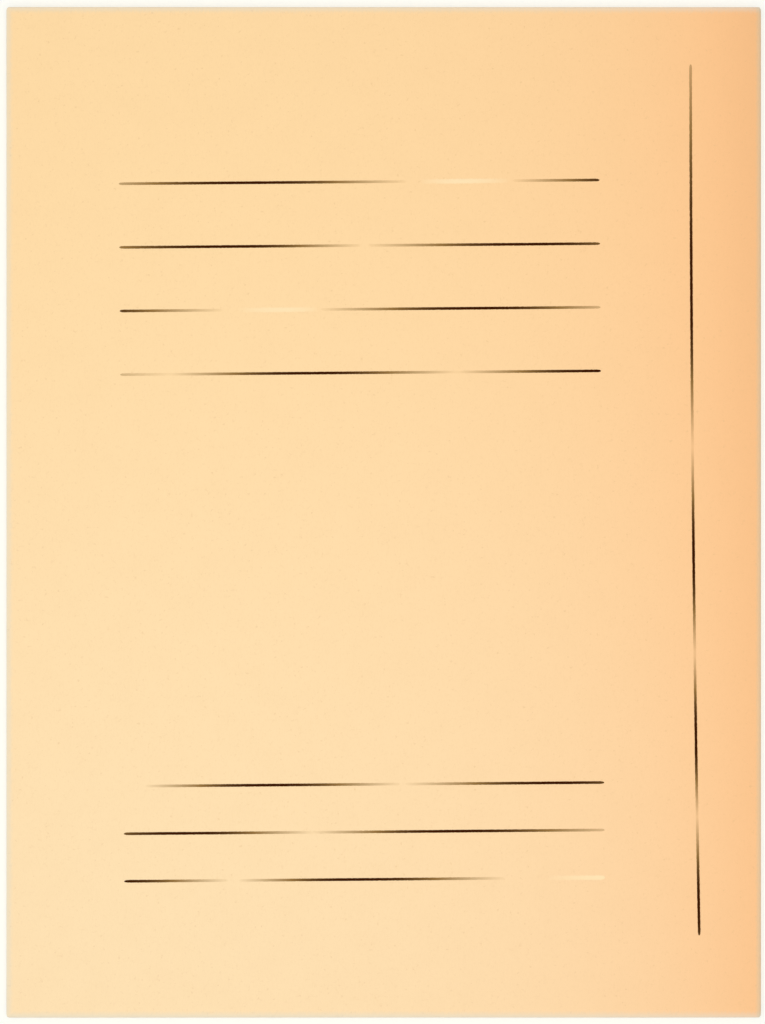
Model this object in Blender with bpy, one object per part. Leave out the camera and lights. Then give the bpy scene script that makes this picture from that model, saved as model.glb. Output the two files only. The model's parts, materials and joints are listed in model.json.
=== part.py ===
"""Three-flap card file pocket, closed and lying on its back panel.

The real pocket is one die-cut sheet of manila card. Creases divide it into a back panel, a
spine with the front cover on it, and three flaps that fold in under the cover, each on a
narrow wall. Every panel between creases is an object here, and so is every crease bead,
because each panel turns on its crease. Metres, +Z up, the spine at +X, the top edge at +Y.
"""

import math

import bpy
from mathutils import Matrix

MM = 0.001

# Driving dimensions of the closed pocket
POCKET_WIDTH = 239 * MM
POCKET_HEIGHT = 320 * MM
CARD_THICKNESS = 0.5 * MM
PAPER_DEPTH = 5 * MM
COVER_GAP = 0.5 * MM
COVER_OVERHANG = 1 * MM
CORNER_RADIUS = 1 * MM

# Creases: the bead is as thick as the card, and the panels stop short of it
FOLD_CLEARANCE = 0.3 * MM
BEAD_BEVEL_RESOLUTION = 2

# Flaps and the corners between neighbouring panels
FLAP_DEPTH = 70 * MM
FLAP_END_INSET = 3 * MM
FLAP_CORNER_RADIUS = 8 * MM
WALL_END_INSET = 1.5 * MM
SPINE_END_TAPER = 1.2 * MM
ARC_STEP = math.radians(15)

# Card finish
CARD_COLOUR = (0.930, 0.680, 0.380, 1.0)
CREASE_COLOUR = (0.900, 0.640, 0.345, 1.0)
CARD_ROUGHNESS = 0.85

# Levels of the panels' middle planes, and the fold lines on the back panel
HALF_CARD = CARD_THICKNESS / 2
FOLD_SETBACK = HALF_CARD + FOLD_CLEARANCE
BACK_LEVEL = HALF_CARD
WALL_RISE = CARD_THICKNESS + PAPER_DEPTH
SPINE_RISE = WALL_RISE + CARD_THICKNESS + COVER_GAP
SPINE_X = POCKET_WIDTH / 2 - HALF_CARD
SIDE_X = COVER_OVERHANG + HALF_CARD - POCKET_WIDTH / 2
EDGE_Y = POCKET_HEIGHT / 2 - COVER_OVERHANG - HALF_CARD
MIDDLE_X = (SPINE_X + SIDE_X) / 2
HALF_SPAN_X = (SPINE_X - SIDE_X) / 2
COVER_REACH = SPINE_X + POCKET_WIDTH / 2
QUARTER_TURN = math.pi / 2


def clear_scene():
    for old in list(bpy.data.objects):
        bpy.data.objects.remove(old)


def card_material(name, colour):
    material = bpy.data.materials.new(name)
    material.use_nodes = True
    shader = material.node_tree.nodes["Principled BSDF"]
    shader.inputs["Base Color"].default_value = colour
    shader.inputs["Roughness"].default_value = CARD_ROUGHNESS
    shader.inputs["Metallic"].default_value = 0.0
    material.diffuse_color = colour
    return material


def rounded_outline(corners):
    """Points of a closed outline whose corners, given as (x, y, radius), are rounded by arcs."""
    points = []
    for index, (x, y, radius) in enumerate(corners):
        before = corners[index - 1]
        after = corners[(index + 1) % len(corners)]
        heading_in = math.atan2(y - before[1], x - before[0])
        heading_out = math.atan2(after[1] - y, after[0] - x)
        turn = math.remainder(heading_out - heading_in, math.tau)
        tangent = radius * math.tan(abs(turn) / 2)
        side = math.copysign(1, turn)
        start_x = x - tangent * math.cos(heading_in)
        start_y = y - tangent * math.sin(heading_in)
        centre_x = start_x - side * radius * math.sin(heading_in)
        centre_y = start_y + side * radius * math.cos(heading_in)
        steps = max(1, round(abs(turn) / ARC_STEP)) if radius else 0
        for step in range(steps + 1):
            heading = heading_in + turn * step / max(1, steps)
            arc_x = centre_x + side * radius * math.sin(heading)
            arc_y = centre_y - side * radius * math.cos(heading)
            points.append((arc_x, arc_y))
    return points


def add_object(name, data, frame, collection):
    thing = bpy.data.objects.new(name, data)
    thing.parent = frame
    collection.objects.link(thing)
    return thing


def frame_empty(name, collection, parent=None, place=Matrix.Identity(4)):
    """An empty that carries a panel: X along its fold, Y over the panel, Z to the inside."""
    empty = add_object(name, None, parent, collection)
    empty.matrix_local = place
    return empty


def fold_frame(name, collection, parent, offset, heading=0.0):
    """The frame of a panel that is folded up square from its parent's plane."""
    turned = Matrix.Rotation(heading, 4, "Z") @ Matrix.Rotation(QUARTER_TURN, 4, "X")
    return frame_empty(name, collection, parent, Matrix.Translation(offset) @ turned)


def add_panel(name, corners, frame, material, collection):
    """A flat card panel: an outline in the frame's XY plane, as thick as the card."""
    curve = bpy.data.curves.new(name, "CURVE")
    curve.dimensions = "2D"
    curve.fill_mode = "BOTH"
    curve.extrude = HALF_CARD
    points = rounded_outline(corners)
    spline = curve.splines.new("POLY")
    spline.points.add(len(points) - 1)
    for point, (x, y) in zip(spline.points, points):
        point.co = (x, y, 0.0, 1.0)
    spline.use_cyclic_u = True
    curve.materials.append(material)
    return add_object(name, curve, frame, collection)


def add_bead(name, half_length, frame, material, collection):
    """The round bead of a crease, along the frame's X, the axis that the panel turns on."""
    curve = bpy.data.curves.new(name, "CURVE")
    curve.dimensions = "3D"
    curve.bevel_depth = HALF_CARD
    curve.bevel_resolution = BEAD_BEVEL_RESOLUTION
    curve.use_fill_caps = True
    spline = curve.splines.new("POLY")
    spline.points.add(1)
    spline.points[0].co = (-half_length, 0.0, 0.0, 1.0)
    spline.points[1].co = (half_length, 0.0, 0.0, 1.0)
    curve.materials.append(material)
    return add_object(name, curve, frame, collection)


def back_corners():
    left = SIDE_X + FOLD_SETBACK
    right = SPINE_X - FOLD_SETBACK
    end = EDGE_Y - FOLD_SETBACK
    return [
        (left, -end, CORNER_RADIUS),
        (right, -end, CORNER_RADIUS),
        (right, end, CORNER_RADIUS),
        (left, end, CORNER_RADIUS),
    ]


def strip_corners(base_half, far_half, rise):
    """A strip between two creases, from its base crease up to the far one."""
    return [
        (-base_half, FOLD_SETBACK, 0.0),
        (base_half, FOLD_SETBACK, 0.0),
        (far_half, rise - FOLD_SETBACK, 0.0),
        (-far_half, rise - FOLD_SETBACK, 0.0),
    ]


def cover_corners():
    end = POCKET_HEIGHT / 2
    return [
        (-end, FOLD_SETBACK, CORNER_RADIUS),
        (end, FOLD_SETBACK, CORNER_RADIUS),
        (end, COVER_REACH, CORNER_RADIUS),
        (-end, COVER_REACH, CORNER_RADIUS),
    ]


def flap_corners(half_span):
    """A flap whose ends run along the bisectors of the pocket's corners.

    Each end draws in by as much as the flap is deep, so that the flap clears its neighbours
    when shut, and the cover while both open.
    """
    base = half_span - FLAP_END_INSET
    tip = base - (FLAP_DEPTH - FOLD_SETBACK)
    return [
        (-base, FOLD_SETBACK, 0.0),
        (base, FOLD_SETBACK, 0.0),
        (tip, FLAP_DEPTH, FLAP_CORNER_RADIUS),
        (-tip, FLAP_DEPTH, FLAP_CORNER_RADIUS),
    ]


def build_spine_and_cover(back, card, crease, collection):
    """The spine on the back panel's right edge, and the front cover on the spine."""
    base_half = EDGE_Y - WALL_END_INSET
    top_half = base_half + SPINE_END_TAPER
    spine = fold_frame("spine_fold", collection, back, (SPINE_X, 0, 0), -QUARTER_TURN)
    cover = fold_frame("cover_fold", collection, spine, (0, SPINE_RISE, 0))
    add_bead("spine_back_crease", base_half, spine, crease, collection)
    add_panel("spine_panel", strip_corners(base_half, top_half, SPINE_RISE), spine, card, collection)
    add_bead("spine_front_crease", top_half, cover, crease, collection)
    add_panel("front_cover", cover_corners(), cover, card, collection)


def build_flap(edge, half_span, offset, heading, back, card, crease, collection):
    """One flap with its wall, on an edge of the back panel."""
    wall_half = half_span - WALL_END_INSET
    wall = fold_frame(f"{edge}_wall_fold", collection, back, offset, heading)
    flap = fold_frame(f"{edge}_flap_fold", collection, wall, (0, WALL_RISE, 0))
    add_bead(f"{edge}_wall_crease", wall_half, wall, crease, collection)
    add_panel(f"{edge}_wall", strip_corners(wall_half, wall_half, WALL_RISE), wall, card, collection)
    add_bead(f"{edge}_flap_crease", half_span - FLAP_END_INSET, flap, crease, collection)
    add_panel(f"{edge}_flap", flap_corners(half_span), flap, card, collection)


def main():
    clear_scene()
    collection = bpy.data.collections.new("file_pocket")
    bpy.context.scene.collection.children.link(collection)
    card = card_material("manila_card", CARD_COLOUR)
    crease = card_material("creased_card", CREASE_COLOUR)
    back = frame_empty("pocket_base", collection, place=Matrix.Translation((0, 0, BACK_LEVEL)))
    add_panel("back_panel", back_corners(), back, card, collection)
    build_spine_and_cover(back, card, crease, collection)
    flaps = (
        ("top", HALF_SPAN_X, (MIDDLE_X, EDGE_Y, 0), 0.0),
        ("bottom", HALF_SPAN_X, (MIDDLE_X, -EDGE_Y, 0), 2 * QUARTER_TURN),
        ("side", EDGE_Y, (SIDE_X, 0, 0), QUARTER_TURN),
    )
    for edge, half_span, offset, heading in flaps:
        build_flap(edge, half_span, offset, heading, back, card, crease, collection)


main()
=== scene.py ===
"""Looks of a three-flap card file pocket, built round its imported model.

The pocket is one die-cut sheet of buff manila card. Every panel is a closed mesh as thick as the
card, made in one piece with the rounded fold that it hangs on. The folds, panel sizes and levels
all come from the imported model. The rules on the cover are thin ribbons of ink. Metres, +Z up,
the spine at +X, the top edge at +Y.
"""

import json
import math

import bmesh
import bpy
from bpy.props import FloatProperty, FloatVectorProperty, PointerProperty
from mathutils import Matrix, Vector

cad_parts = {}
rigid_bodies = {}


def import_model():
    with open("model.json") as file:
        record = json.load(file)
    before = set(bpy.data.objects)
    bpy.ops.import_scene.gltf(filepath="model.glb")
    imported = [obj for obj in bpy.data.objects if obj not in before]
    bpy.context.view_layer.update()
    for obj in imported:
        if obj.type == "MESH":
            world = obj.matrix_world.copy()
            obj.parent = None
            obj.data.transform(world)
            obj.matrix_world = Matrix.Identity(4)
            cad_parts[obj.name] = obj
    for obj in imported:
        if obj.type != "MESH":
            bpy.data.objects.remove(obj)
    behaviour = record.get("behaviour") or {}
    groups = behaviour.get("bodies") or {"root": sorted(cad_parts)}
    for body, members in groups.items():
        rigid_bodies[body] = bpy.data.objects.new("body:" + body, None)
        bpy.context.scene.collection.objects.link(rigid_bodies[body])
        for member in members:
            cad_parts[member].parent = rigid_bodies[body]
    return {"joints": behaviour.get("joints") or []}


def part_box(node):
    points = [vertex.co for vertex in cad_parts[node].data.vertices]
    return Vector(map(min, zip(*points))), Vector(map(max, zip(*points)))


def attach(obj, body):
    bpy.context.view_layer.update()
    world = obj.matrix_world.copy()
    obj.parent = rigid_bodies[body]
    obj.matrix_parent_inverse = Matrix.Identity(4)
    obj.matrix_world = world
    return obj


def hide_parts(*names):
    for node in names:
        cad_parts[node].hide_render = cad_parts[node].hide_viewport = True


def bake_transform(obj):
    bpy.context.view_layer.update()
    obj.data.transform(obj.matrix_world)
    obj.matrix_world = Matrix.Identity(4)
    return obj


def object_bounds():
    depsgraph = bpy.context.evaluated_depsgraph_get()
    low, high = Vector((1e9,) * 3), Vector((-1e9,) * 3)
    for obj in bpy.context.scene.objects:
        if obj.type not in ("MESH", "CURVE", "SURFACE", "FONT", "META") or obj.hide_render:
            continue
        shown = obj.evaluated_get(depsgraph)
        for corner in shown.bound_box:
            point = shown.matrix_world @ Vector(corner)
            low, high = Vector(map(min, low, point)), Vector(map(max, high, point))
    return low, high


bl_info = {
    "name": "File pocket",
    "version": (1, 0, 0),
    "blender": (4, 5, 0),
    "location": "View3D > Sidebar > File pocket",
    "description": "Dresses the packed file pocket in folded manila card with printed rules",
    "category": "Object",
}

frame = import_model()
CAD_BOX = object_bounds()

MM = 0.001

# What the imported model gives
JOINTS = {joint["name"]: joint for joint in frame["joints"]}
BACK_LOW, BACK_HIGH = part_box("back_panel")
COVER_LOW, COVER_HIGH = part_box("front_cover")
CARD_THICKNESS = BACK_HIGH.z - BACK_LOW.z

# Edges of the back panel that a wall with its flap stands on
FLAP_EDGES = ("top", "bottom", "side")

# Names of the mesh attributes that the materials read
SHEET_PLACE = "sheet_place"
SIDE_RIM = "side_rim_distance"
END_RIM = "end_rim_distance"
FOLD_DISTANCE = "fold_distance"
INK_DENSITY = "ink_density"
INK_SPREAD = "ink_spread"

# Mesh steps over a fold and round a corner, the gap to the row that supports a rim or a fold, and
# the angle from which an edge shows sharp
FOLD_STEPS = 10
CORNER_STEPS = 8
SUPPORT_GAP = 0.3 * MM
SHARP_ANGLE = math.radians(50)

# Rim distance of a panel that has folds on all its sides
FAR_FROM_RIMS = 1.0

# How far the corners of the back panel are trimmed between the strips that fold up from it
CORNER_TRIM = 0.28 * MM

# Long swells of card that has lain about: radians a metre to the right and up, where the swell
# starts, and its share of the height
CROSSED_SWELL = ((31.0, 0.7), (23.0, 1.9))
CROSSED_SHARE = 0.3
SLANTED_SWELL = (17.0, -29.0, 0.4)
SLANTED_SHARE = 0.2

# Distances from a fold between which the swells set in
SWELL_START = 2 * MM
SWELL_FULL = 40 * MM
FLAP_SWELL_FULL = 30 * MM

# Share of the cover's length and width at which its corners begin to curl
CURL_START = 0.6

# Ribbons of ink: the step along a rule, and the levels of ridge, sides and underside on the card
STROKE_STEP = 1.5 * MM
INK_TOP = 0.02 * MM
INK_RIM = 0.006 * MM
INK_SUNK = 0.03 * MM
RIBBON_RING = ((-1, INK_RIM), (0, INK_TOP), (1, INK_RIM), (0, -INK_SUNK))

# Share of its width that a rule keeps where its ink runs out
FAINT_WIDTH = 0.9

# Length over which the end of a rule tapers to its tip, and the places of the rings there as
# shares of that length
TIP_LENGTH = 1.3 * MM
TIP_RINGS = (0.03, 0.12, 0.3, 0.6)

# Density below which a ribbon has faded out, and its end dips under the face of the card
FADED_OUT = 0.001

# Where the ink takes along each rule: first trace, darkest place and last trace of every stroke,
# in millimetres from the middle of the cover, left to right or bottom to top
TOP_RULES = (
    ((-99.5, -40.5, 8.5), (41.0, 81.0, 123.0)),
    ((-111.0, -48.0, -6.0), (-5.0, 46.0, 98.0)),
    ((-121.0, -99.0, -50.0), (-20.0, 29.5, 79.0)),
    ((-160.0, -146.0, -66.0), (-68.0, -23.5, 24.0), (23.0, 68.0, 110.0)),
)
FOOT_RULES = (
    ((-77.0, -38.0, 5.0), (5.5, 54.0, 93.0)),
    ((-108.0, -64.0, -22.5), (-24.0, 20.0, 79.0)),
    ((-100.0, -88.0, -49.5), (-47.5, -10.0, 38.0)),
)
MARGIN_RULE = (
    (-154.0, -125.0, -95.5),
    (-98.5, -72.0, -44.0),
    (-47.5, -15.0, 21.5),
    (18.0, 65.0, 168.0),
)

# Stretches where a rule is only a pale pressed line, with the row that they are on
PALE_TOP_STRETCHES = ((0, (12.0, 25.5, 41.0)), (2, (-46.0, -31.0, -20.0)))
PALE_FOOT_STRETCHES = ((2, (50.5, 68.0, 80.5)),)

# Density at which the ink has its thin colour all over the card, how fast it goes dark beyond
# that, and how ragged its sides are
THIN_DENSITY = 0.67
DARKENING = 1.6
INK_RAGGED = 0.14

# Grain of the card: how many times a metre each of its noises repeats
CLOUD_SCALE = 90.0
FIBRE_STRETCH = (2800.0, 800.0, 1400.0)
STRAND_SCALE = 520.0
SPECK_SCALE = 950.0

# Values of the noises between which the marks come up, and the contour that strands run along
CLOUD_SPAN = (0.3, 0.8)
FIBRE_SPAN = (0.45, 0.8)
FINISH_SPAN = (0.3, 0.75)
HAIR_SPECKS = (0.48, 0.60)
FLECK_SPECKS = (0.70, 0.78)
STRAND_CONTOUR = 0.5
STRAND_WIDTH = 0.018

# How much of the fibre colour the marks take, and how far hairs stand over the fibres
CLOUD_SHARE = 0.035
FIBRE_SHARE = 0.09
HAIR_SHARE = 0.16
FLECK_SHARE = 0.22
HAIR_RISE = 0.35

# Painted shade towards the spine, and a browner painted shade right at the spine fold: reach over
# the card, strength at foot and top of the cover
TONING_REACH = 58 * MM
TONING_UPWARD = (0.9, 1.1)
GRIME_REACH = 24 * MM
GRIME_SHARE = 0.24
GRIME_UPWARD = (0.3, 1.2)

# Painted shade along the card's rims and folds, and how raggedly it ends
RIM_SHARE = 0.42
FOLD_SHARE = 0.36
FULLY_PRESSED = 0.1 * MM
RAGGED_SPAN = (0.2, 0.8)
RAGGED_WIDTH = (0.75, 1.25)

# What the inner faces take of the outer faces' painted shade: at the spine, and at rims and folds
INSIDE_TONING = 0.35
INSIDE_WEAR = 0.6

# Plies that show on the cut edges
PLY_STRETCH = (60.0, 60.0, 9000.0)
PLY_SPAN = (0.45, 0.7)
PLY_FINISH_SPAN = (0.3, 0.7)
PLY_SHARE = 0.35

# Kinds of node group sockets, and the sockets of the Mix node that carry colours
VALUE = "NodeSocketFloat"
VECTOR = "NodeSocketVector"
COLOUR = "NodeSocketColor"
MIX_FIRST_COLOUR = 6
MIX_SECOND_COLOUR = 7
MIX_COLOUR_RESULT = 2

# Floor and lamp
FLOOR_SIZE = 6.0
FLOOR_DROP = 0.2 * MM
LAMP_SIZE = 0.8
LAMP_PLACE = (-0.05, -0.07, 1.3)
WHITE = (1.0, 1.0, 1.0, 1.0)

# Share of the floor that shows plainly, without light and shadow: near the pocket and far off
FLOOR_NEAR, PLAIN_NEAR = 0.35, 0.6
FLOOR_FAR, PLAIN_FAR = 1.0, 1.0


def length_property(name, description, default):
    return FloatProperty(name=name, description=description, default=default, unit="LENGTH")


def colour_property(name, description, default):
    return FloatVectorProperty(
        name=name,
        description=description,
        default=(*default, 1.0),
        size=4,
        min=0.0,
        max=1.0,
        subtype="COLOR",
    )


class PocketCard(bpy.types.PropertyGroup):
    """Sizes of the card and its folds."""

    thickness: length_property(
        "Card thickness", "Thickness of the card, as in the packed model", CARD_THICKNESS
    )
    fold_radius: length_property(
        "Fold radius", "Radius of a shut fold at the middle of the card", 0.5 * MM
    )
    fold_lap: length_property(
        "Fold lap",
        "How far a fold's strip reaches back over the panel that it folds from",
        1.1 * MM,
    )
    fold_bead: length_property(
        "Fold bead",
        "How far the creasing rule has pushed the card out on the inside of a fold",
        0.08 * MM,
    )
    edge_round: length_property(
        "Edge rounding", "Rounding that the cutting die leaves on the edges", 0.1 * MM
    )
    corner_radius: length_property(
        "Cover corner radius", "Radius of the corners of the cover", 1.0 * MM
    )
    flap_corner_radius: length_property(
        "Flap corner radius", "Radius of the tips of the flaps", 8.0 * MM
    )
    mesh_step: length_property(
        "Mesh step", "Spacing of the mesh over the flat of a panel", 4.0 * MM
    )
    ripple: length_property(
        "Ripple", "Height of the soft waves that the card has taken up", 0.12 * MM
    )
    corner_lift: length_property(
        "Corner lift", "How far the free corners of the cover stand up", 0.15 * MM
    )


class PocketFinish(bpy.types.PropertyGroup):
    """Colours of the card, of the shade painted on it, and of the print."""

    card: colour_property("Card", "Buff of the card", (0.976, 0.745, 0.444))
    # Painted shade: a darker, warmer buff towards the spine, where the light falls off
    toned_card: colour_property(
        "Toned card", "Warmer buff that the card has taken near the spine", (0.984, 0.532, 0.240)
    )
    # Painted shade: a darker buff towards the top edge, where the light falls off
    yellowed_card: colour_property(
        "Yellowed card",
        "Yellower buff that the card has taken towards the top edge",
        (0.992, 0.708, 0.374),
    )
    fibre: colour_property("Fibre", "Darker fibres and flecks in the card", (0.720, 0.440, 0.200))
    cut_edge: colour_property(
        "Cut edge", "Paler core of the card where the die has cut it", (0.900, 0.700, 0.440)
    )
    # Painted shade: browner card beside the spine, where the cover turns down into its fold
    grimed: colour_property(
        "Grimed card",
        "Browner card beside the spine, where the pocket is picked up",
        (0.780, 0.480, 0.230),
    )
    # Painted shade: greyer card along the rims
    handled: colour_property(
        "Handled rim", "Greyer card along the rims, from handling", (0.680, 0.720, 0.670)
    )
    # Painted shade: duller card along the folds
    creased: colour_property(
        "Creased card",
        "Dull card along the folds, where the face is pressed",
        (0.500, 0.555, 0.440),
    )
    ink: colour_property("Ink", "Brown-black ink of the rules", (0.044, 0.009, 0.001))
    thin_ink: colour_property(
        "Thin ink", "Brown of the ink where it runs thin", (0.296, 0.166, 0.050)
    )
    pale_rule: colour_property(
        "Pale rule", "Pressed line where the ink has not taken", (0.985, 0.755, 0.440)
    )


class PocketPrint(bpy.types.PropertyGroup):
    """Layout of the printed rules, from the middle of the cover."""

    tilt: FloatProperty(
        name="Tilt",
        description="How far the print is turned on the sheet",
        default=math.radians(0.45),
        unit="ROTATION",
        subtype="ANGLE",
    )
    rule_width: length_property(
        "Rule width", "Width of a rule where the ink is darkest", 0.95 * MM
    )
    pale_width: length_property(
        "Pale width", "Width of the pressed line where a rule has no ink", 1.8 * MM
    )
    rule_left: length_property("Left end", "Left end of the level rules", -83.15 * MM)
    rule_right: length_property("Right end", "Right end of the level rules", 69.15 * MM)
    top_rule: length_property(
        "First top rule", "Height of the first of the top rules", 104.7 * MM
    )
    top_pitch: length_property("Top pitch", "Spacing of the top rules", 20.15 * MM)
    foot_rule: length_property(
        "First foot rule", "Height of the first of the foot rules", -86.1 * MM
    )
    foot_pitch: length_property("Foot pitch", "Spacing of the foot rules", 15.05 * MM)
    margin_place: length_property(
        "Margin rule", "Place of the upright rule beside the spine", 97.9 * MM
    )
    margin_foot: length_property(
        "Margin rule foot", "Lower end of the upright rule", -134.8 * MM
    )
    margin_top: length_property("Margin rule top", "Upper end of the upright rule", 141.1 * MM)
    margin_bow: length_property(
        "Margin rule bow",
        "How far the foot of the upright rule bends out towards the spine",
        0.93 * MM,
    )
    margin_straight: length_property(
        "Margin rule straight",
        "Height at which the upright rule runs straight up the print",
        35.4 * MM,
    )


class PocketStage(bpy.types.PropertyGroup):
    """Floor, light and camera."""

    floor: colour_property(
        "Floor", "Near-white of the floor and the backdrop", (1.000, 1.000, 0.940)
    )
    ambient: FloatProperty(
        name="Ambient",
        description="Strength of the even white light from all round",
        default=0.464,
    )
    key_power: FloatProperty(
        name="Key lamp",
        description="Power of the soft lamp above the lower left",
        default=10.12,
        unit="POWER",
    )
    lens: FloatProperty(
        name="Lens",
        description="Focal length of the camera in millimetres",
        default=100.0,
        unit="CAMERA",
    )
    framed_height: length_property(
        "Framed height",
        "Height that the picture takes in at the level of the cover",
        324.3 * MM,
    )
    aim_left: length_property(
        "Aim to the left", "How far left of the pocket's middle the camera stands", 0.43 * MM
    )
    aim_up: length_property(
        "Aim upwards", "How far above the pocket's middle the camera stands", 0.1 * MM
    )


# Folds


def middle_of(node):
    low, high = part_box(node)
    return (low + high) / 2


def main_direction(vector):
    """The row axis that a vector mostly points along, as a unit vector."""
    axis = max(range(3), key=lambda index: abs(vector[index]))
    direction = Vector((0.0, 0.0, 0.0))
    direction[axis] = math.copysign(1.0, vector[axis])
    return direction


def extent_along(node, direction):
    """Half the length of a node along a row axis."""
    low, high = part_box(node)
    return abs((high - low).dot(direction)) / 2


class Fold:
    """A fold of the card, read from its joint, with the panel that it carries.

    The card comes along `out` over the panel before the fold, turns through a quarter circle and
    goes on along `into`. Places on the card are given by t, the distance past the fold line, and
    a, the distance along the fold from its middle: t goes up to `reach` and a up to `half`. On the
    unfolded sheet the same place lies `sheet_start` + t out from the middle of the back panel. A
    fold that comes after another one lies `rise` away from it.
    """

    def __init__(self, joint_name, panel, panel_before, fold_before=None):
        joint = JOINTS[joint_name]
        self.bodies = (joint["parent"], joint["child"])
        self.pivot = Vector(joint["pos_m"])
        self.along = -Vector(joint["axis"])
        self.out = main_direction(self.pivot - middle_of(panel_before))
        self.into = main_direction(middle_of(panel) - self.pivot)
        far = middle_of(panel) + self.into * extent_along(panel, self.into)
        self.reach = (far - self.pivot).dot(self.into)
        self.half = extent_along(panel, self.along)
        self.rise = 0.0
        self.sheet_out = self.out
        self.sheet_start = self.pivot.dot(self.out)
        if fold_before is not None:
            self.rise = (self.pivot - fold_before.pivot).length
            self.sheet_out = fold_before.sheet_out
            self.sheet_start = fold_before.sheet_start + self.rise

    def section(self, t, radius):
        """Middle of the card and its outward normal at t."""
        if t <= -radius:
            return self.pivot + self.out * t, -self.into
        if t >= radius:
            return self.pivot + self.into * t, self.out.copy()
        turn = math.pi / 2 * (t + radius) / (2 * radius)
        normal = self.out * math.sin(turn) - self.into * math.cos(turn)
        centre = self.pivot + (self.into - self.out) * radius
        return centre + normal * radius, normal

    def sheet_place(self, t, a):
        return self.sheet_out * (self.sheet_start + t) + self.along * a

    def bend(self, piece, radius):
        """Bakes the piece's placement into its mesh."""
        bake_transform(piece)


def spine_fold():
    return Fold("spine_fold", "spine_panel", "back_panel")


def cover_fold():
    return Fold("cover_fold", "front_cover", "spine_panel", spine_fold())


def wall_fold(edge):
    return Fold(f"{edge}_wall_fold", f"{edge}_wall", "back_panel")


def flap_fold(edge):
    return Fold(f"{edge}_flap_fold", f"{edge}_flap", f"{edge}_wall", wall_fold(edge))


# Objects and meshes


def add_object(name, data):
    thing = bpy.data.objects.new(name, data)
    bpy.context.scene.collection.objects.link(thing)
    return thing


def new_mesh(*names):
    """A bmesh that holds the place on the sheet and further named values at each vertex."""
    mesh = bmesh.new()
    layers = [mesh.verts.layers.float_vector.new(SHEET_PLACE)]
    for name in names:
        layers.append(mesh.verts.layers.float.new(name))
    return mesh, layers


def add_vertex(mesh, layers, point, *values):
    """Adds a vertex, with its place on the sheet and its values in the order of their names."""
    vertex = mesh.verts.new(point)
    for layer, value in zip(layers, values, strict=True):
        vertex[layer] = value
    return vertex


def show_mesh(name, mesh, *materials):
    """Turns a bmesh into an object of the scene."""
    data = bpy.data.meshes.new(name)
    mesh.to_mesh(data)
    mesh.free()
    for material in materials:
        data.materials.append(material)
    return add_object(name, data)


def smooth_step(value, start, end):
    """0 up to start, 1 from end on, and a soft rise between them."""
    share = min(max((value - start) / (end - start), 0.0), 1.0)
    return share * share * (3 - 2 * share)


def even_steps(start, end, step):
    """Places from start to end, both included, about a step apart."""
    count = max(1, round((end - start) / step))
    return [start + (end - start) * index / count for index in range(count + 1)]


# Card meshes


def column_shares(half, step, edge_round):
    """Places across a panel as shares of its half length, closer together beside the rims."""
    support = 1 - SUPPORT_GAP / (half - edge_round)
    return [-1.0] + even_steps(-support, support, step / half) + [1.0]


def fold_rows(card):
    """Rows from the start of a fold's strip to just past its curve."""
    start, radius = card.fold_lap, card.fold_radius
    curve = even_steps(-radius, radius, 2 * radius / FOLD_STEPS)
    return [-start, -(start + radius) / 2] + curve


def butt_rows(card, far):
    """Rows of a strip that ends square where the next fold's strip begins."""
    rows = fold_rows(card)
    return rows + even_steps(rows[-1], far, card.mesh_step / 2)[1:]


def free_rows(card, far, corner_start):
    """Rows of a panel that ends in a free edge with rounded corners."""
    rows = fold_rows(card)
    near = rows[-1] + SUPPORT_GAP
    rows += even_steps(near, corner_start, card.mesh_step)
    last = far - card.edge_round
    for step in range(1, CORNER_STEPS + 1):
        turn = math.pi / 2 * step / CORNER_STEPS
        rows.append(corner_start + (last - corner_start) * math.sin(turn))
    rows.append(far)
    return rows


def ring_places(half, shares, edge_round, half_card):
    """Places (a, height) round one cross-section: the outer face, a rim, the inner face, a rim."""
    inner_half = half - edge_round
    rim_height = half_card - edge_round
    outer = [(inner_half * share, half_card) for share in shares]
    inner = [(inner_half * share, -half_card) for share in reversed(shares)]
    right_rim = [(half, rim_height), (half, -rim_height)]
    left_rim = [(-half, -rim_height), (-half, rim_height)]
    return outer + right_rim + inner + left_rim


def cap_faces(ring, columns):
    """Corners of the faces that close an end of a panel, between its outer and inner faces."""
    under_first = 2 * columns + 1
    faces = []
    for column in range(columns - 1):
        under = under_first - column
        faces.append((ring[column], ring[column + 1], ring[under - 1], ring[under]))
    faces.append(ring[columns - 1 : columns + 3])
    faces.append([ring[0]] + ring[under_first:])
    return faces


def panel_faces(mesh, rings, columns, free_end):
    """Closes a panel over its cross-sections, and gives the faces that the die has cut."""
    count = len(rings[0])
    rim_columns = {columns - 1, columns, columns + 1, count - 3, count - 2, count - 1}
    cut_faces = []
    for index in range(len(rings) - 1):
        near, far = rings[index], rings[index + 1]
        end_row = free_end and index == len(rings) - 2
        for column in range(count):
            after = (column + 1) % count
            face = mesh.faces.new((near[column], far[column], far[after], near[after]))
            if end_row or column in rim_columns:
                cut_faces.append(face)
    for ring in (rings[0], rings[-1]):
        for corners in cap_faces(ring, columns):
            cut_faces.append(mesh.faces.new(corners))
    return cut_faces


def finish_card(name, mesh, cut_faces):
    """Turns a bmesh into a shown card piece, with its cut faces in the second material."""
    for face in mesh.faces:
        face.smooth = True
    for face in cut_faces:
        face.material_index = 1
    bmesh.ops.recalc_face_normals(mesh, faces=mesh.faces)
    piece = show_mesh(name, mesh, card_face_material(), cut_edge_material())
    piece.data.set_sharp_from_angle(angle=SHARP_ANGLE)
    return piece


def bead_rise(card, t):
    """How far the inner face stands out at a fold, where the creasing rule has pressed the card."""
    share = min(abs(t) / card.fold_radius, 1.0)
    return card.fold_bead * math.cos(math.pi / 2 * share) ** 2


def no_lift(_t, _a):
    return 0.0


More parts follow.
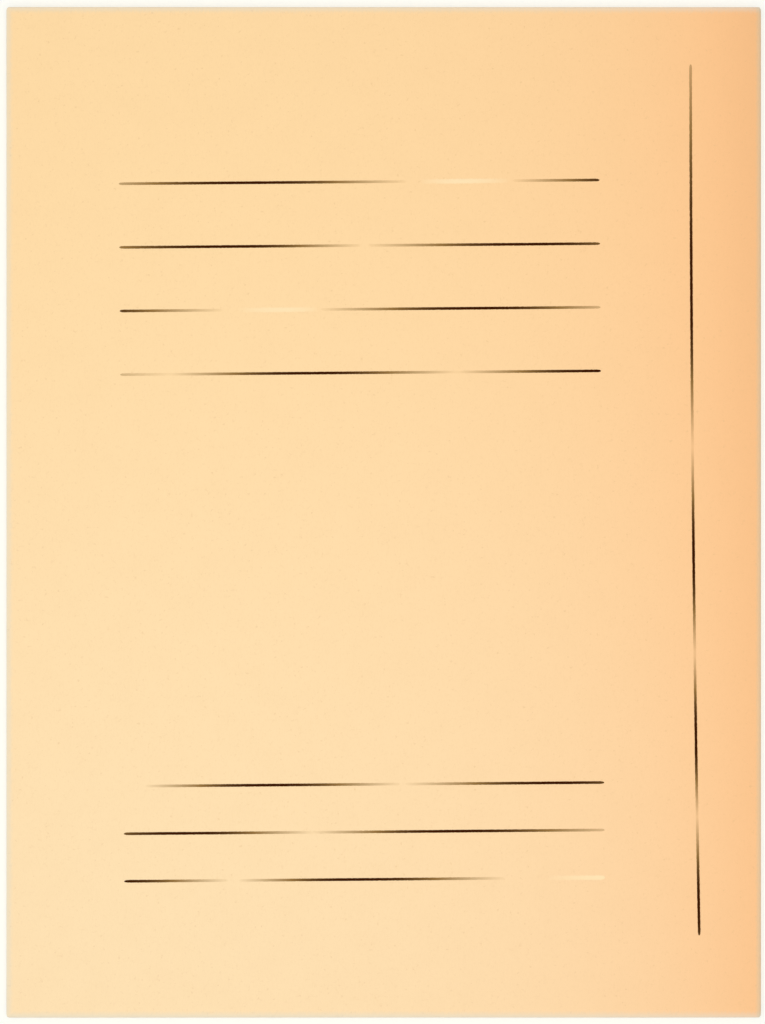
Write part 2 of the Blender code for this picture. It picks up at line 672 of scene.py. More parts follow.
def soft_waves(place, height):
    """Waves of card that has lain about: a sum of two long swells, between 0 and height."""
    (right, right_start), (up, up_start) = CROSSED_SWELL
    crossed = math.sin(place.x * right + right_start) * math.sin(place.y * up + up_start)
    right, up, start = SLANTED_SWELL
    slanted = math.sin(place.x * right + place.y * up + start)
    return height * (CROSSED_SHARE * (1 + crossed) + SLANTED_SHARE * (1 + slanted))


def card_panel(name, fold, rows, half_at, lift_at=no_lift, fold_after=None):
    """A closed card mesh swept through a fold, row by row.

    half_at(t) is half the panel's length along the fold, and lift_at(t, a) how far the card stands
    out of its plane. fold_after is the distance of a second fold at the panel's far side. A panel
    without one ends in a free edge.
    """
    card = bpy.context.scene.pocket_card
    free_end = fold_after is None
    mesh, layers = new_mesh(SIDE_RIM, END_RIM, FOLD_DISTANCE)
    shares = column_shares(max(map(half_at, rows)), card.mesh_step, card.edge_round)
    rings = []
    for t in rows:
        half = half_at(t)
        half_card = card.thickness / 2
        if free_end and t == rows[-1]:
            half_card -= card.edge_round
        to_end = rows[-1] - t if free_end else FAR_FROM_RIMS
        to_fold = abs(t) if free_end else min(abs(t), abs(fold_after - t))
        middle, normal = fold.section(t, card.fold_radius)
        ring = []
        for a, height in ring_places(half, shares, card.edge_round, half_card):
            out = height + lift_at(t, a)
            if height < 0:
                out -= bead_rise(card, t)
            point = middle + fold.along * a + normal * out
            sheet = fold.sheet_place(t, a)
            place = (sheet.x, sheet.y, height)
            ring.append(add_vertex(mesh, layers, point, place, half - abs(a), to_end, to_fold))
        rings.append(ring)
    return finish_card(name, mesh, panel_faces(mesh, rings, len(shares), free_end))


def border_edges(grid):
    """Edges all round a grid of corners."""
    columns = list(zip(*grid))
    lines = (grid[0], grid[-1], columns[0], columns[-1])
    return [edge for line in lines for edge in zip(line, line[1:])]


class POCKET_OT_back_panel(bpy.types.Operator):
    """Make the panel that the papers lie on"""

    bl_idname = "pocket.back_panel"
    bl_label = "Back panel"

    def execute(self, context):
        card = context.scene.pocket_card
        top, side = wall_fold("top"), wall_fold("side")
        left_fold, right_fold, end_fold = side.pivot.x, spine_fold().pivot.x, top.pivot.y
        left = left_fold + card.fold_lap
        right = right_fold - card.fold_lap
        end = end_fold - card.fold_lap
        strip_left = top.pivot.x - top.half
        strip_right = top.pivot.x + top.half
        across = [left] + even_steps(strip_left, strip_right, card.mesh_step) + [right]
        upward = [-end] + even_steps(-side.half, side.half, card.mesh_step) + [end]
        mesh, layers = new_mesh(SIDE_RIM, END_RIM, FOLD_DISTANCE)

        def add_corner(x, y, z):
            if x in (left, right) and abs(y) == end:
                x += math.copysign(CORNER_TRIM, -x)
                y += math.copysign(CORNER_TRIM, -y)
            to_fold = min(x - left_fold, right_fold - x, end_fold - abs(y))
            swell = smooth_step(to_fold, SWELL_START, SWELL_FULL)
            lift = soft_waves(Vector((x, y, 0.0)), card.ripple) * swell
            place = (x, y, card.thickness / 2 - z)
            point = (x, y, z + lift)
            return add_vertex(mesh, layers, point, place, FAR_FROM_RIMS, FAR_FROM_RIMS, to_fold)

        under = [[add_corner(x, y, BACK_LOW.z) for x in across] for y in upward]
        upper = [[add_corner(x, y, BACK_HIGH.z) for x in across] for y in upward]
        for grid in (under, upper):
            for row, next_row in zip(grid, grid[1:]):
                for column in range(len(row) - 1):
                    after = column + 1
                    mesh.faces.new((row[column], row[after], next_row[after], next_row[column]))
        cut_faces = []
        for low, high in zip(border_edges(under), border_edges(upper)):
            cut_faces.append(mesh.faces.new((low[0], low[1], high[1], high[0])))
        piece = finish_card("back_card", mesh, cut_faces)
        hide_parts("back_panel")
        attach(piece, "back")
        return {"FINISHED"}


def spine_taper():
    """Half the length of the spine as a function of t: it widens a little towards the cover."""
    cover = cover_fold()
    base_half = extent_along("spine_back_crease", cover.along)
    top_half = extent_along("spine_front_crease", cover.along)
    return lambda t: base_half + (top_half - base_half) * smooth_step(t, 0.0, cover.rise)


class POCKET_OT_spine(bpy.types.Operator):
    """Make the spine that the cover hangs on"""

    bl_idname = "pocket.spine"
    bl_label = "Spine"

    def execute(self, context):
        card = context.scene.pocket_card
        fold, rise = spine_fold(), cover_fold().rise
        rows = butt_rows(card, rise - card.fold_lap)
        spine = card_panel("spine_card", fold, rows, spine_taper(), fold_after=rise)
        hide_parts("spine_panel", "spine_back_crease")
        fold.bend(spine, card.fold_radius)
        return {"FINISHED"}


def cover_lift(fold, t, a):
    """How far the cover stands out of its plane: soft waves, and corners that curl up a little."""
    card = bpy.context.scene.pocket_card
    waves = soft_waves(fold.sheet_place(t, a), card.ripple)
    to_edge = smooth_step(t, CURL_START * fold.reach, fold.reach)
    to_end = smooth_step(abs(a), CURL_START * fold.half, fold.half)
    corner = card.corner_lift * to_edge * to_end
    return (waves + corner) * smooth_step(t, SWELL_START, SWELL_FULL)


class POCKET_OT_cover(bpy.types.Operator):
    """Make the front cover"""

    bl_idname = "pocket.cover"
    bl_label = "Front cover"

    def execute(self, context):
        card = context.scene.pocket_card
        cover = cover_fold()
        end, reach, radius = cover.half, cover.reach, card.corner_radius
        strip = spine_taper()(cover.rise - card.fold_lap)

        def cover_half(t):
            widening = smooth_step(t, -card.fold_lap, card.fold_radius)
            half = strip + (end - strip) * widening
            past_corner = max(t - (reach - radius), 0.0)
            return half - radius + math.sqrt(radius * radius - past_corner * past_corner)

        rows = free_rows(card, reach, reach - radius)
        piece = card_panel(
            "cover_card", cover, rows, cover_half, lambda t, a: cover_lift(cover, t, a)
        )
        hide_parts("front_cover", "spine_front_crease")
        cover.bend(piece, card.fold_radius)
        return {"FINISHED"}


class POCKET_OT_walls(bpy.types.Operator):
    """Make the three walls that the flaps hang on"""

    bl_idname = "pocket.walls"
    bl_label = "Walls"

    def execute(self, context):
        for edge in FLAP_EDGES:
            self.make_wall(context.scene.pocket_card, edge)
        return {"FINISHED"}

    def make_wall(self, card, edge):
        fold, rise = wall_fold(edge), flap_fold(edge).rise
        rows = butt_rows(card, rise - card.fold_lap)
        piece = card_panel(f"{edge}_wall_card", fold, rows, lambda t: fold.half, fold_after=rise)
        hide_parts(f"{edge}_wall", f"{edge}_wall_crease")
        fold.bend(piece, card.fold_radius)


class POCKET_OT_flaps(bpy.types.Operator):
    """Make the three flaps that hold the papers"""

    bl_idname = "pocket.flaps"
    bl_label = "Flaps"

    def execute(self, context):
        for edge in FLAP_EDGES:
            self.make_flap(context.scene.pocket_card, edge)
        return {"FINISHED"}

    def make_flap(self, card, edge):
        fold = flap_fold(edge)
        wall_half, base_half = wall_fold(edge).half, fold.half
        reach, radius = fold.reach, card.flap_corner_radius
        mitre_start = card.fold_radius
        # The curve of a tip touches the mitre, which runs at 45 degrees, and the free edge
        curve_start = reach - radius * (1 - math.sqrt(0.5))
        curve_middle = base_half + mitre_start - (reach - radius) - radius * math.sqrt(2)

        def flap_half(t):
            if t <= mitre_start:
                drawn_in = smooth_step(t, -card.fold_lap, mitre_start)
                return wall_half + (base_half - wall_half) * drawn_in
            if t <= curve_start:
                return base_half - (t - mitre_start)
            up = t - (reach - radius)
            return curve_middle + math.sqrt(max(radius * radius - up * up, 0.0))

        def flap_lift(t, a):
            swell = smooth_step(t, SWELL_START, FLAP_SWELL_FULL)
            return (soft_waves(fold.sheet_place(t, a), card.ripple) - card.ripple) * swell

        rows = free_rows(card, reach, curve_start)
        piece = card_panel(f"{edge}_flap_card", fold, rows, flap_half, flap_lift)
        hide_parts(f"{edge}_flap", f"{edge}_flap_crease")
        fold.bend(piece, card.fold_radius)


# Printed rules


def cover_point(fold, right, up):
    """A place of the print, from the middle of the cover, laid on the cover's outer face."""
    scene = bpy.context.scene
    place = Matrix.Rotation(scene.pocket_print.tilt, 3, "Z") @ Vector((right, up, 0.0))
    t = (place - fold.pivot).dot(fold.into)
    a = (place - fold.pivot).dot(fold.along)
    place.z = fold.pivot.z + scene.pocket_card.thickness / 2 + cover_lift(fold, t, a)
    return place, fold.sheet_place(t, a)


def stroke_density(place, stroke):
    """How densely a stroke's ink lies: 1 at its darkest place, 0 at its first and last trace."""
    first, darkest, last = (value * MM for value in stroke)
    end = last if place > darkest else first
    share = min((place - darkest) / (end - darkest), 1.0)
    return math.cos(math.pi / 2 * share)


def stroke_runs(strokes):
    """Strokes of a rule, gathered into runs whose ink is unbroken."""
    runs = []
    for stroke in strokes:
        if runs and stroke[0] < runs[-1][-1][2]:
            runs[-1].append(stroke)
        else:
            runs.append([stroke])
    return runs


def run_places(run, limits):
    """Places of the rings along a run of strokes, closer at an end of the rule itself."""
    start = max(run[0][0] * MM, limits[0])
    end = min(run[-1][2] * MM, limits[1])
    places = even_steps(start, end, STROKE_STEP)
    if start == limits[0]:
        places[:1] = [start + TIP_LENGTH * share for share in TIP_RINGS]
    if end == limits[1]:
        places[-1:] = [end - TIP_LENGTH * share for share in reversed(TIP_RINGS)]
    return places


def add_run(mesh, layers, fold, run, limits, width, spot_at):
    """One closed ribbon of ink along a rule, with a low ridge, sunk a little into the card."""
    rings = []
    for place in run_places(run, limits):
        density = max(stroke_density(place, stroke) for stroke in run)
        half = width / 2 * (FAINT_WIDTH + (1 - FAINT_WIDTH) * density)
        inward = min(place - limits[0], limits[1] - place) / TIP_LENGTH
        if inward < 1:
            half *= math.sqrt(inward * (2 - inward))
        dip = INK_SUNK if density < FADED_OUT else 0.0
        ring = []
        for side, rise in RIBBON_RING:
            point, sheet = cover_point(fold, *spot_at(place, side * half))
            point.z += rise - dip
            sheet.z = CARD_THICKNESS / 2
            ring.append(add_vertex(mesh, layers, point, sheet, density, abs(side)))
        rings.append(ring)
    for near, far in zip(rings, rings[1:]):
        for corner in range(len(near)):
            after = (corner + 1) % len(near)
            mesh.faces.new((near[corner], near[after], far[after], far[corner]))
    mesh.faces.new(rings[0])
    mesh.faces.new(rings[-1])


def printed_piece(name, rules, width, material):
    """A piece of print that rides on the cover, from rules of strokes with limits and places."""
    fold = cover_fold()
    mesh, layers = new_mesh(INK_DENSITY, INK_SPREAD)
    for strokes, limits, spot_at in rules:
        for run in stroke_runs(strokes):
            add_run(mesh, layers, fold, run, limits, width, spot_at)
    bmesh.ops.recalc_face_normals(mesh, faces=mesh.faces)
    piece = show_mesh(name, mesh, material)
    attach(piece, "cover")


def level_spot(height):
    return lambda place, aside: (place, height + aside)


def upright_spot(layout):
    """Places along the upright rule, which bows out a little towards its ends."""
    foot = layout.margin_foot - layout.margin_straight

    def spot(place, aside):
        share = (place - layout.margin_straight) / foot
        return layout.margin_place + layout.margin_bow * share * share - aside, place

    return spot


class POCKET_OT_printed_rules(bpy.types.Operator):
    """Print the rules on the cover"""

    bl_idname = "pocket.printed_rules"
    bl_label = "Printed rules"

    def execute(self, context):
        layout = context.scene.pocket_print
        level_limits = (layout.rule_left, layout.rule_right)
        inked = []
        pale = []
        for first, pitch, rules, stretches in (
            (layout.top_rule, layout.top_pitch, TOP_RULES, PALE_TOP_STRETCHES),
            (layout.foot_rule, layout.foot_pitch, FOOT_RULES, PALE_FOOT_STRETCHES),
        ):
            for row, strokes in enumerate(rules):
                inked.append((strokes, level_limits, level_spot(first - row * pitch)))
            for row, stroke in stretches:
                pale.append(((stroke,), level_limits, level_spot(first - row * pitch)))
        margin_limits = (layout.margin_foot, layout.margin_top)
        inked.append((MARGIN_RULE, margin_limits, upright_spot(layout)))
        printed_piece("inked_rules", inked, layout.rule_width, ink_material())
        printed_piece("pale_rules", pale, layout.pale_width, pale_rule_material())
        return {"FINISHED"}


# Nodes


def feed(tree, socket, value):
    """Links a socket to another one, or sets it to a plain value."""
    if isinstance(value, bpy.types.NodeSocket):
        tree.links.new(value, socket)
    else:
        socket.default_value = value


def maths(tree, operation, first, second=0.0, clamp=False):
    node = tree.nodes.new("ShaderNodeMath")
    node.operation = operation
    node.use_clamp = clamp
    feed(tree, node.inputs[0], first)
    feed(tree, node.inputs[1], second)
    return node.outputs[0]


def product(tree, value, *factors):
    for factor in factors:
        value = maths(tree, "MULTIPLY", value, factor)
    return value


def fade(tree, value, start, end, low=0.0, high=1.0):
    """Goes smoothly from low to high while value goes from start to end."""
    node = tree.nodes.new("ShaderNodeMapRange")
    node.interpolation_type = "SMOOTHSTEP"
    for name, given in (
        ("Value", value),
        ("From Min", start),
        ("From Max", end),
        ("To Min", low),
        ("To Max", high),
    ):
        feed(tree, node.inputs[name], given)
    return node.outputs["Result"]


def mix_colours(tree, share, first, second):
    node = tree.nodes.new("ShaderNodeMix")
    node.data_type = "RGBA"
    feed(tree, node.inputs[0], share)
    feed(tree, node.inputs[MIX_FIRST_COLOUR], first)
    feed(tree, node.inputs[MIX_SECOND_COLOUR], second)
    return node.outputs[MIX_COLOUR_RESULT]


def noise(tree, place, scale, detail, roughness=0.5):
    node = tree.nodes.new("ShaderNodeTexNoise")
    feed(tree, node.inputs["Vector"], place)
    node.inputs["Scale"].default_value = scale
    node.inputs["Detail"].default_value = detail
    node.inputs["Roughness"].default_value = roughness
    return node.outputs[0]


def stretch(tree, place, scale):
    node = tree.nodes.new("ShaderNodeMapping")
    feed(tree, node.inputs["Vector"], place)
    node.inputs["Scale"].default_value = scale
    return node.outputs["Vector"]


def separate(tree, place):
    node = tree.nodes.new("ShaderNodeSeparateXYZ")
    feed(tree, node.inputs[0], place)
    return node.outputs


def read_attribute(tree, name, output="Fac"):
    node = tree.nodes.new("ShaderNodeAttribute")
    node.attribute_name = name
    return node.outputs[output]


def new_group(name, inputs, outputs):
    """An empty node group with named sockets: its tree, what it is given and what it makes."""
    tree = bpy.data.node_groups.new(name, "ShaderNodeTree")
    for direction, sockets in (("INPUT", inputs), ("OUTPUT", outputs)):
        for socket_name, kind in sockets.items():
            tree.interface.new_socket(socket_name, in_out=direction, socket_type=kind)
    given = tree.nodes.new("NodeGroupInput").outputs
    made = tree.nodes.new("NodeGroupOutput").inputs
    return tree, given, made


def place_group(tree, group, **values):
    """Puts a node group into a tree, with a value or a link for each of its inputs."""
    node = tree.nodes.new("ShaderNodeGroup")
    node.node_tree = group
    for name, value in values.items():
        feed(tree, node.inputs[name.replace("_", " ")], value)
    return node.outputs


# Node groups that the materials share


def fibre_group():
    """Cloudy tone, fibres and flecks of pressed card, over the place on the unfolded sheet."""
    name = "Card fibre"
    if name in bpy.data.node_groups:
        return bpy.data.node_groups[name]
    marks = ("Cloud", "Fibre", "Hair", "Fleck")
    tree, given, made = new_group(name, {"Place": VECTOR}, dict.fromkeys(marks, VALUE))
    place = given["Place"]
    contours = noise(tree, place, STRAND_SCALE, detail=2.0)
    off_contour = maths(tree, "ABSOLUTE", maths(tree, "SUBTRACT", contours, STRAND_CONTOUR))
    strands = fade(tree, off_contour, 0.0, STRAND_WIDTH, 1.0, 0.0)
    specks = noise(tree, place, SPECK_SCALE, detail=1.0)
    fibres = stretch(tree, place, FIBRE_STRETCH)
    feed(tree, made["Cloud"], noise(tree, place, CLOUD_SCALE, detail=4.0))
    feed(tree, made["Fibre"], noise(tree, fibres, scale=1.0, detail=5.0, roughness=0.65))
    feed(tree, made["Hair"], product(tree, strands, fade(tree, specks, *HAIR_SPECKS)))
    feed(tree, made["Fleck"], fade(tree, specks, *FLECK_SPECKS))
    return tree


def outer_share(tree, place, inside):
    """1 on the card's outer face, falling to the inside's own share through the card."""
    depth = separate(tree, place)["Z"]
    return fade(tree, depth, -CARD_THICKNESS / 2, CARD_THICKNESS / 2, inside, 1.0)


def buff_group():
    """Card colour: buff with painted shade towards the spine and the top, and fibres and flecks."""
    name = "Buff card colour"
    if name in bpy.data.node_groups:
        return bpy.data.node_groups[name]
    colours = ("Card", "Yellowed", "Toned", "Grimed", "Fibre colour")
    tree, given, made = new_group(
        name,
        {"Place": VECTOR, **dict.fromkeys(colours, COLOUR)},
        {"Colour": COLOUR, "Fibre": VALUE, "Height": VALUE},
    )
    grain = place_group(tree, fibre_group(), Place=given["Place"])
    place = separate(tree, given["Place"])
    outer = outer_share(tree, given["Place"], INSIDE_TONING)

    def upward(foot, top):
        return fade(tree, place["Y"], COVER_LOW.y, COVER_HIGH.y, foot, top)

    # Painted shade: darker towards the top of the sheet
    colour = mix_colours(tree, upward(0.0, 1.0), given["Card"], given["Yellowed"])
    # Painted shade towards the spine, fading with distance from it, weaker on the inner faces
    spine_middle = (spine_fold().sheet_start + cover_fold().sheet_start) / 2
    to_spine = maths(tree, "ABSOLUTE", maths(tree, "SUBTRACT", place["X"], spine_middle))
    toning = maths(tree, "EXPONENT", maths(tree, "DIVIDE", to_spine, -TONING_REACH))
    toning = product(tree, toning, upward(*TONING_UPWARD), outer)
    colour = mix_colours(tree, toning, colour, given["Toned"])
    # Painted shade: browner card right beside the spine fold
    griming = fade(tree, to_spine, 0.0, GRIME_REACH, GRIME_SHARE, 0.0)
    griming = product(tree, griming, upward(*GRIME_UPWARD), outer)
    colour = mix_colours(tree, griming, colour, given["Grimed"])
    for marked in (
        fade(tree, grain["Cloud"], *CLOUD_SPAN, 0.0, CLOUD_SHARE),
        fade(tree, grain["Fibre"], *FIBRE_SPAN, 0.0, FIBRE_SHARE),
        product(tree, grain["Hair"], HAIR_SHARE),
        product(tree, grain["Fleck"], FLECK_SHARE),
    ):
        colour = mix_colours(tree, marked, colour, given["Fibre colour"])
    hairs = product(tree, grain["Hair"], HAIR_RISE)
    feed(tree, made["Colour"], colour)
    feed(tree, made["Fibre"], grain["Fibre"])
    feed(tree, made["Height"], maths(tree, "ADD", grain["Fibre"], hairs))
    return tree


def buff_card(tree, finish):
    """The card's colour and grain, placed in a material."""
    return place_group(
        tree,
        buff_group(),
        Place=read_attribute(tree, SHEET_PLACE, "Vector"),
        Card=finish.card,
        Yellowed=finish.yellowed_card,
        Toned=finish.toned_card,
        Grimed=finish.grimed,
        Fibre_colour=finish.fibre,
    )


def wear_group():
    """Colour of card with painted shade along its rims and along its folds."""
    name = "Rim and fold wear"
    if name in bpy.data.node_groups:
        return bpy.data.node_groups[name]
    colours = ("Colour", "Handled", "Creased")
    values = ("Rim", "Fold", "Fibre", "Rim width", "Rim share", "Fold width", "Fold share")
    tree, given, made = new_group(
        name,
        {**dict.fromkeys(colours, COLOUR), **dict.fromkeys(values, VALUE)},
        {"Colour": COLOUR},
    )
    # Painted shade along the rims, then along the folds, in bands of ragged width
    ragged = fade(tree, given["Fibre"], *RAGGED_SPAN, *RAGGED_WIDTH)
    rim_width = product(tree, given["Rim width"], ragged)
    on_rim = fade(tree, given["Rim"], 0.0, rim_width, 1.0, 0.0)
    rim_worn = product(tree, on_rim, given["Rim share"])
    colour = mix_colours(tree, rim_worn, given["Colour"], given["Handled"])
    fold_width = product(tree, given["Fold width"], ragged)
    on_fold = fade(tree, given["Fold"], FULLY_PRESSED, fold_width, 1.0, 0.0)
    fold_worn = product(tree, on_fold, given["Fold share"])
    feed(tree, made["Colour"], mix_colours(tree, fold_worn, colour, given["Creased"]))
    return tree


def worn_card(tree, finish, colour, fibre, **wear):
    """The card's colour with painted shade along its rims and folds, placed in a material."""
    side = read_attribute(tree, SIDE_RIM)
    return place_group(
        tree,
        wear_group(),
        Colour=colour,
        Handled=finish.handled,
        Creased=finish.creased,
        Rim=maths(tree, "MINIMUM", side, read_attribute(tree, END_RIM)),
        Fold=read_attribute(tree, FOLD_DISTANCE),
        Fibre=fibre,
        **wear,
    )["Colour"]


def coverage_group():
    """How much of a rule's full print lies at a place, fading out towards its ragged sides."""
    name = "Print coverage"
    if name in bpy.data.node_groups:
        return bpy.data.node_groups[name]
    values = ("Density", "Spread", "Fibre", "Solid", "Bare")
    tree, given, made = new_group(name, dict.fromkeys(values, VALUE), {"Coverage": VALUE})
    ragged = fade(tree, given["Fibre"], *FINISH_SPAN, -INK_RAGGED, INK_RAGGED)
    aside = maths(tree, "ADD", given["Spread"], ragged)
    inside = fade(tree, aside, given["Solid"], given["Bare"], 1.0, 0.0)
    feed(tree, made["Coverage"], product(tree, given["Density"], inside))
    return tree


def print_coverage(tree, fibre, solid, bare):
    """The coverage of a rule, placed in a material: whole up to solid and gone at bare."""
    return place_group(
        tree,
        coverage_group(),
        Density=read_attribute(tree, INK_DENSITY),
        Spread=read_attribute(tree, INK_SPREAD),
        Fibre=fibre,
        Solid=solid,
        Bare=bare,
    )["Coverage"]


# Materials


def new_material(name, specular):
    """A material with its plain values set, and the parts that are wired up next."""
    material = bpy.data.materials.new(name)
    material.use_nodes = True
    tree = material.node_tree
    shader = tree.nodes["Principled BSDF"]
    shader.inputs["Specular IOR Level"].default_value = specular
    return material, tree, shader


def vary_roughness(tree, shader, value, span, low, high):
    feed(tree, shader.inputs["Roughness"], fade(tree, value, *span, low, high))


def add_bump(tree, shader, height, strength, distance):
    bump = tree.nodes.new("ShaderNodeBump")
    bump.inputs["Strength"].default_value = strength
    bump.inputs["Distance"].default_value = distance
    feed(tree, bump.inputs["Height"], height)
    feed(tree, shader.inputs["Normal"], bump.outputs["Normal"])


def card_face_material():
    """Matt buff card: cloudy tone, short fibres, flecks, painted shade at spine, rims and folds."""
    name = "manila card face"
    if name in bpy.data.materials:
        return bpy.data.materials[name]
    finish = bpy.context.scene.pocket_finish
    material, tree, shader = new_material(name, specular=0.25)
    grain = buff_card(tree, finish)
    # Painted shade along the rims and folds, weaker on the inner faces
    outer = outer_share(tree, read_attribute(tree, SHEET_PLACE, "Vector"), INSIDE_WEAR)
    colour = worn_card(
        tree,
        finish,
        grain["Colour"],
        grain["Fibre"],
        Rim_width=2.4 * MM,
        Rim_share=product(tree, outer, RIM_SHARE),
        Fold_width=1.8 * MM,
        Fold_share=product(tree, outer, FOLD_SHARE),
    )
    feed(tree, shader.inputs["Base Color"], colour)
    vary_roughness(tree, shader, grain["Fibre"], FINISH_SPAN, low=0.78, high=0.92)
    add_bump(tree, shader, grain["Height"], strength=0.5, distance=0.08 * MM)
    return material


def cut_edge_material():
    """The cut rim of the card: its pale core in thin plies, with painted shade at rims and folds.
    """
    name = "cut card edge"
    if name in bpy.data.materials:
        return bpy.data.materials[name]
    finish = bpy.context.scene.pocket_finish
    material, tree, shader = new_material(name, specular=0.2)
    place = read_attribute(tree, SHEET_PLACE, "Vector")
    grain = place_group(tree, fibre_group(), Place=place)
    plies = noise(tree, stretch(tree, place, PLY_STRETCH), scale=1.0, detail=2.0)
    dark_ply = fade(tree, plies, *PLY_SPAN, 0.0, PLY_SHARE)
    # Painted shade along the rims and folds of the cut edge
    colour = worn_card(
        tree,
        finish,
        mix_colours(tree, dark_ply, finish.cut_edge, finish.fibre),
        grain["Fibre"],
        Rim_width=1.1 * MM,
        Rim_share=0.3,
        Fold_width=0.8 * MM,
        Fold_share=0.12,
    )
    feed(tree, shader.inputs["Base Color"], colour)
    vary_roughness(tree, shader, plies, PLY_FINISH_SPAN, low=0.84, high=0.95)
    add_bump(tree, shader, plies, strength=0.4, distance=0.05 * MM)
    return material


def ink_material():
    """Brown-black printing ink, brown where it is thin, with ragged sides."""
    finish = bpy.context.scene.pocket_finish
    material, tree, shader = new_material("rule ink", specular=0.0)
    grain = buff_card(tree, finish)
    coverage = print_coverage(tree, grain["Fibre"], solid=0.82, bare=1.02)
    thin = maths(tree, "DIVIDE", coverage, THIN_DENSITY, clamp=True)
    colour = mix_colours(tree, thin, grain["Colour"], finish.thin_ink)
    short_of_full = maths(tree, "SUBTRACT", 1.0, coverage)
    short_of_full = maths(tree, "DIVIDE", short_of_full, 1 - THIN_DENSITY, clamp=True)
    lightness = maths(tree, "POWER", short_of_full, DARKENING)
    colour = mix_colours(tree, lightness, finish.ink, colour)
    feed(tree, shader.inputs["Base Color"], colour)
    vary_roughness(tree, shader, grain["Fibre"], FINISH_SPAN, low=0.7, high=0.9)
    add_bump(tree, shader, grain["Height"], strength=0.35, distance=0.06 * MM)
    return material


def pale_rule_material():
    """Card pressed smooth by the rule, without ink."""
    finish = bpy.context.scene.pocket_finish
    material, tree, shader = new_material("pale rule", specular=0.25)
    grain = buff_card(tree, finish)
    coverage = print_coverage(tree, grain["Fibre"], solid=0.5, bare=1.0)
    colour = mix_colours(tree, coverage, grain["Colour"], finish.pale_rule)
    feed(tree, shader.inputs["Base Color"], colour)
    vary_roughness(tree, shader, grain["Fibre"], FINISH_SPAN, low=0.65, high=0.85)
    add_bump(tree, shader, grain["Height"], strength=0.2, distance=0.04 * MM)
    return material


# Stage


def camera_share(tree):
    """1 for rays that show the backdrop itself: straight, mirrored or through glass."""
    path = tree.nodes.new("ShaderNodeLightPath")
    seen = maths(tree, "MAXIMUM", path.outputs["Is Camera Ray"], path.outputs["Is Glossy Ray"])
    return maths(tree, "MAXIMUM", seen, path.outputs["Is Transmission Ray"])


def plain_shader(tree, kind, colour):
    node = tree.nodes.new(kind)
    node.inputs["Color"].default_value = colour
    return node


def show_mixed(tree, output_kind, share, first, second):
    """Puts out a mix of two shader nodes as the look of a material or a world."""
    mix = tree.nodes.new("ShaderNodeMixShader")
    output = tree.nodes.new(output_kind)
    feed(tree, mix.inputs[0], share)
    feed(tree, mix.inputs[1], first.outputs[0])
    feed(tree, mix.inputs[2], second.outputs[0])
    feed(tree, output.inputs["Surface"], mix.outputs[0])


def floor_material(stage):
    """Near-white paper sweep that shows evenly but keeps a soft part of the pocket's shadow."""
    material = bpy.data.materials.new("studio floor")
    material.use_nodes = True
    tree = material.node_tree
    tree.nodes.clear()
    lit = plain_shader(tree, "ShaderNodeBsdfDiffuse", stage.floor)
    plain = plain_shader(tree, "ShaderNodeEmission", stage.floor)
    place = tree.nodes.new("ShaderNodeNewGeometry")
    away = tree.nodes.new("ShaderNodeVectorMath")
    away.operation = "LENGTH"
    feed(tree, away.inputs[0], place.outputs["Position"])
    plainness = fade(tree, away.outputs["Value"], FLOOR_NEAR, FLOOR_FAR, PLAIN_NEAR, PLAIN_FAR)
    share = product(tree, camera_share(tree), plainness)
    show_mixed(tree, "ShaderNodeOutputMaterial", share, lit, plain)
    return material


def light_world(stage):
    """Even light from all round, with a plain white backdrop behind it."""
    world = bpy.data.worlds.new("studio")
    world.use_nodes = True
    tree = world.node_tree
    tree.nodes.clear()
    ambient = plain_shader(tree, "ShaderNodeBackground", WHITE)
    ambient.inputs["Strength"].default_value = stage.ambient
    backdrop = plain_shader(tree, "ShaderNodeBackground", stage.floor)
    show_mixed(tree, "ShaderNodeOutputWorld", camera_share(tree), ambient, backdrop)
    bpy.context.scene.world = world


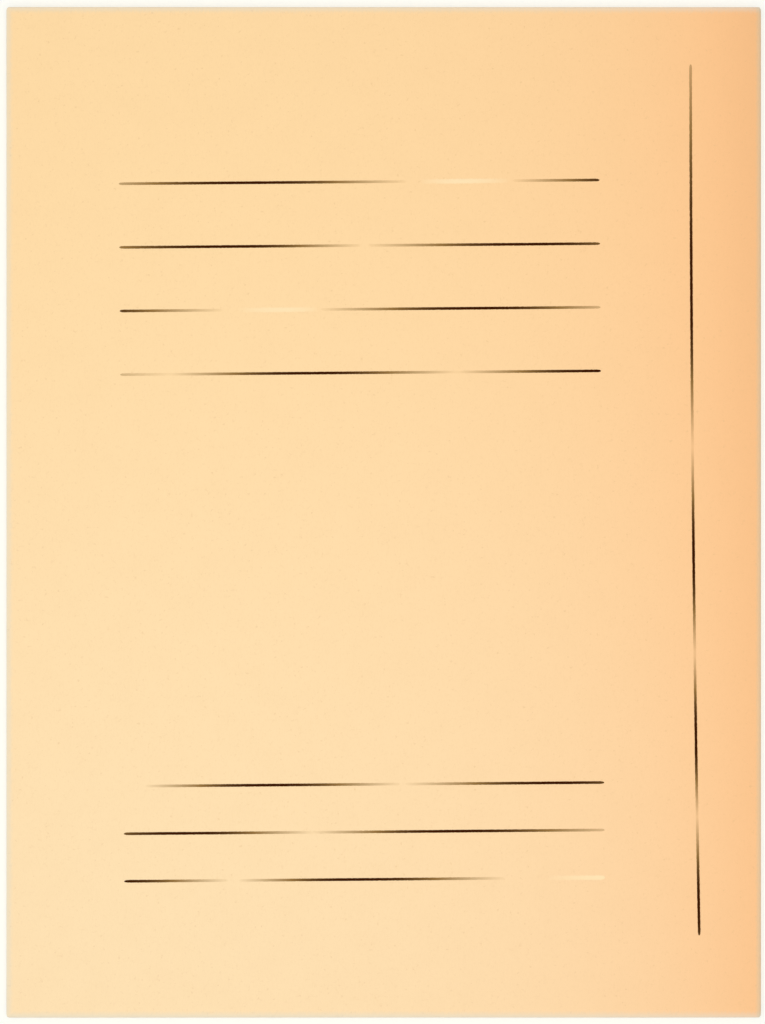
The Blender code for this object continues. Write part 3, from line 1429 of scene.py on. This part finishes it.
class POCKET_OT_stage(bpy.types.Operator):
    """Set up the floor, the light and the camera"""

    bl_idname = "pocket.stage"
    bl_label = "Stage"

    def execute(self, context):
        stage = context.scene.pocket_stage
        self.lay_floor(stage)
        light_world(stage)
        self.hang_lamp(stage)
        self.set_camera(context, stage)
        context.scene.view_settings.view_transform = "Standard"
        return {"FINISHED"}

    def lay_floor(self, stage):
        mesh = bmesh.new()
        bmesh.ops.create_grid(mesh, x_segments=1, y_segments=1, size=FLOOR_SIZE)
        floor = show_mesh("studio_floor", mesh, floor_material(stage))
        floor.location.z = CAD_BOX[0].z - FLOOR_DROP

    def hang_lamp(self, stage):
        """A soft lamp that shines straight down."""
        data = bpy.data.lights.new("key_lamp", "AREA")
        data.shape = "DISK"
        data.size = LAMP_SIZE
        data.energy = stage.key_power
        lamp = add_object("key_lamp", data)
        lamp.location = LAMP_PLACE
        lamp.visible_camera = False

    def set_camera(self, context, stage):
        """A camera that looks straight down on the cover."""
        data = bpy.data.cameras.new("front_camera")
        data.lens = stage.lens
        distance = stage.framed_height * data.lens / data.sensor_width
        camera = add_object("front_camera", data)
        camera.location = (-stage.aim_left, stage.aim_up, CAD_BOX[1].z + distance)
        context.scene.camera = camera


class POCKET_PT_sidebar(bpy.types.Panel):
    """Sizes and colours of the pocket, and the buttons that build it"""

    bl_label = "File pocket"
    bl_idname = "POCKET_PT_sidebar"
    bl_space_type = "VIEW_3D"
    bl_region_type = "UI"
    bl_category = "File pocket"

    def draw(self, context):
        for name, group in GROUPS.items():
            box = self.layout.box()
            for field in group.__annotations__:
                box.prop(getattr(context.scene, name), field)
        for operator in OPERATORS:
            self.layout.operator(operator.bl_idname)


OPERATORS = (
    POCKET_OT_back_panel,
    POCKET_OT_spine,
    POCKET_OT_cover,
    POCKET_OT_walls,
    POCKET_OT_flaps,
    POCKET_OT_printed_rules,
    POCKET_OT_stage,
)
GROUPS = {
    "pocket_card": PocketCard,
    "pocket_finish": PocketFinish,
    "pocket_print": PocketPrint,
    "pocket_stage": PocketStage,
}


def register():
    for name, group in GROUPS.items():
        bpy.utils.register_class(group)
        setattr(bpy.types.Scene, name, PointerProperty(type=group))
    for operator in OPERATORS:
        bpy.utils.register_class(operator)
    bpy.utils.register_class(POCKET_PT_sidebar)


def unregister():
    bpy.utils.unregister_class(POCKET_PT_sidebar)
    for operator in reversed(OPERATORS):
        bpy.utils.unregister_class(operator)
    for name, group in GROUPS.items():
        delattr(bpy.types.Scene, name)
        bpy.utils.unregister_class(group)


def main():
    register()
    bpy.ops.pocket.back_panel()
    bpy.ops.pocket.spine()
    bpy.ops.pocket.cover()
    bpy.ops.pocket.walls()
    bpy.ops.pocket.flaps()
    bpy.ops.pocket.printed_rules()
    bpy.ops.pocket.stage()


if __name__ == "__main__":
    main()
